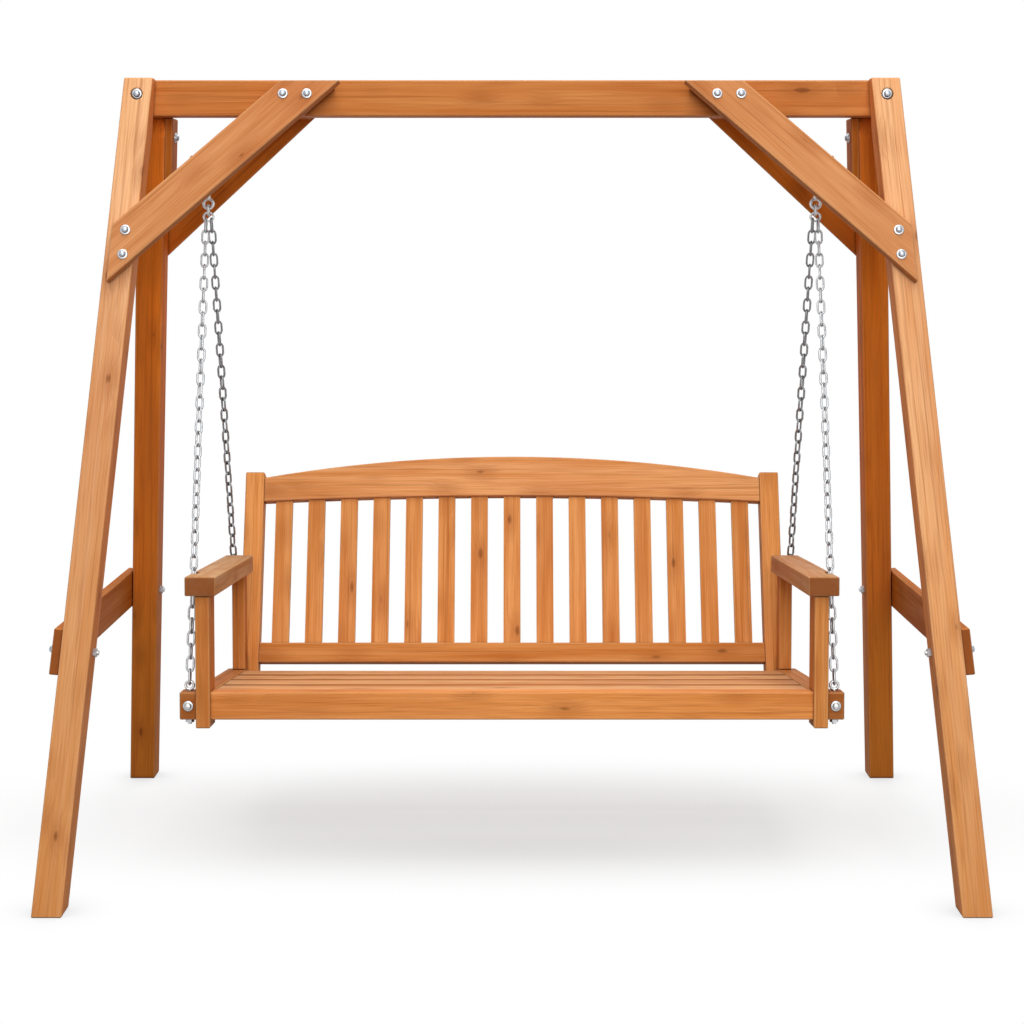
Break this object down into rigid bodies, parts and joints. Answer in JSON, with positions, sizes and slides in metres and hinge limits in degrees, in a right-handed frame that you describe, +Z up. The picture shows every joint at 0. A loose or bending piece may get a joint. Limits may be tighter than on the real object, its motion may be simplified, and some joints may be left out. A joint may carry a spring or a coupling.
{
  "type": "a-frame porch swing",
  "caption": "Timber A-frame porch swing: a slatted bench with armrests and an arched back, hung on chains from a splayed and braced stand.",
  "frame": {"origin": "on the ground under the middle of the top beam", "axes": "+X along the top beam to the right as seen from in front, +Y to the rear (the bench faces -Y), +Z up"},
  "size_m": [1.9556, 1.1648, 1.716],
  "materials": {
    "stand_wood": "stained softwood, satin",
    "bench_wood": "stained softwood, satin",
    "zinc_steel": "bright zinc plate"
  },
  "bodies": {
    "stand": {"apex_bolts": "zinc_steel", "apex_nuts": "zinc_steel", "brace_packers": "stand_wood", "brace_screws": "zinc_steel", "front_left_brace": "stand_wood", "front_left_leg": "stand_wood", "front_right_brace": "stand_wood", "front_right_leg": "stand_wood", "hanger_eyebolts": "zinc_steel", "hanger_nuts": "zinc_steel", "left_hanger_bar": "stand_wood", "left_stretcher": "stand_wood", "leg_cleat_screws": "zinc_steel", "leg_cleats": "stand_wood", "rear_left_brace": "stand_wood", "rear_left_leg": "stand_wood", "rear_right_brace": "stand_wood", "rear_right_leg": "stand_wood", "right_hanger_bar": "stand_wood", "right_stretcher": "stand_wood", "stretcher_bolts": "zinc_steel", "stretcher_nuts": "zinc_steel", "top_beam": "stand_wood"},
    "swing": {"back_slats": "bench_wood", "chain_eye_nuts": "zinc_steel", "chain_eyebolts": "zinc_steel", "chain_rings": "zinc_steel", "connecting_links": "zinc_steel", "front_left_chain": "zinc_steel", "front_left_post": "bench_wood", "front_rail": "bench_wood", "front_right_chain": "zinc_steel", "front_right_post": "bench_wood", "left_armrest": "bench_wood", "left_bearer": "bench_wood", "left_side_rail": "bench_wood", "left_stile": "bench_wood", "lock_screws": "zinc_steel", "low_back_rail": "bench_wood", "middle_bearer": "bench_wood", "rear_left_chain": "zinc_steel", "rear_left_post": "bench_wood", "rear_rail": "bench_wood", "rear_right_chain": "zinc_steel", "rear_right_post": "bench_wood", "right_armrest": "bench_wood", "right_bearer": "bench_wood", "right_side_rail": "bench_wood", "right_stile": "bench_wood", "seat_slat_1": "bench_wood", "seat_slat_2": "bench_wood", "seat_slat_3": "bench_wood", "seat_slat_4": "bench_wood", "top_back_rail": "bench_wood"}
  },
  "joints": [
    {"name": "swing", "type": "hinge", "parent": "stand", "child": "swing", "pos_m": [0, 0, 1.436], "axis": [1, 0, 0], "range_deg": [-30, 30]}
  ]
}
